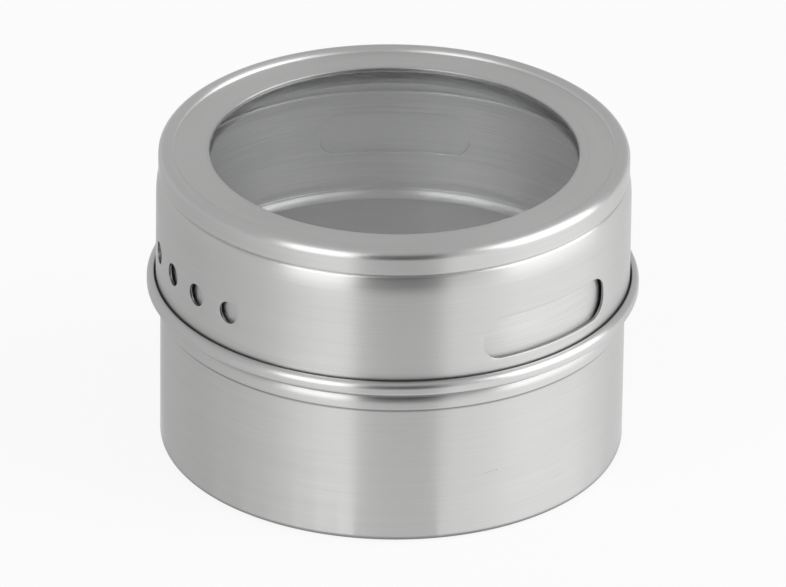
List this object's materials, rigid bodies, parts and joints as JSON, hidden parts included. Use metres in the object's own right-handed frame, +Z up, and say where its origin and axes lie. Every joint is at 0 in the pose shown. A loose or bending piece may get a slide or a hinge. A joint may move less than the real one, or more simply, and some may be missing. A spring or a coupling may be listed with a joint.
{
  "type": "spice jar",
  "caption": "Small round brushed steel spice tin with a turning lid that pours through a slot or sprinkles through holes, a clear lid window and a magnet in its base.",
  "frame": {"origin": "middle of the base, on the surface that the tin stands on", "axes": "+Z up through the lid's window; -Y is the front, between the sprinkle holes and the pouring slot; +X to the right seen from the front; the neck's pouring opening is at the back, +Y"},
  "size_m": [0.0688, 0.0688, 0.045],
  "materials": {
    "cup_steel": "satin, brushed round the wall",
    "neck_steel": "satin, drawn",
    "lid_steel": "satin, brushed round the wall",
    "retainer_steel": "plain pressed steel",
    "clear_window": "clear, polished",
    "seal": "translucent white silicone",
    "magnet": "dark filled magnet sheet, matte",
    "tape": "white foam tape"
  },
  "bodies": {
    "tin": {"tin_cup": "cup_steel", "neck_ring": "neck_steel", "base_magnet": "magnet", "magnet_tape": "tape"},
    "window_ring": {"window_retainer": "retainer_steel"},
    "lid": {"lid_shell": "lid_steel", "window_pane": "clear_window", "window_seal": "seal"}
  },
  "joints": [
    {"name": "lid_lift", "type": "slide", "parent": "tin", "child": "window_ring", "axis": [0, 0, 1], "range_m": [0, 0.06]},
    {"name": "lid_turn", "type": "hinge", "parent": "window_ring", "child": "lid", "pos_m": [0, 0, 0.035], "axis": [0, 0, 1], "continuous": true}
  ]
}
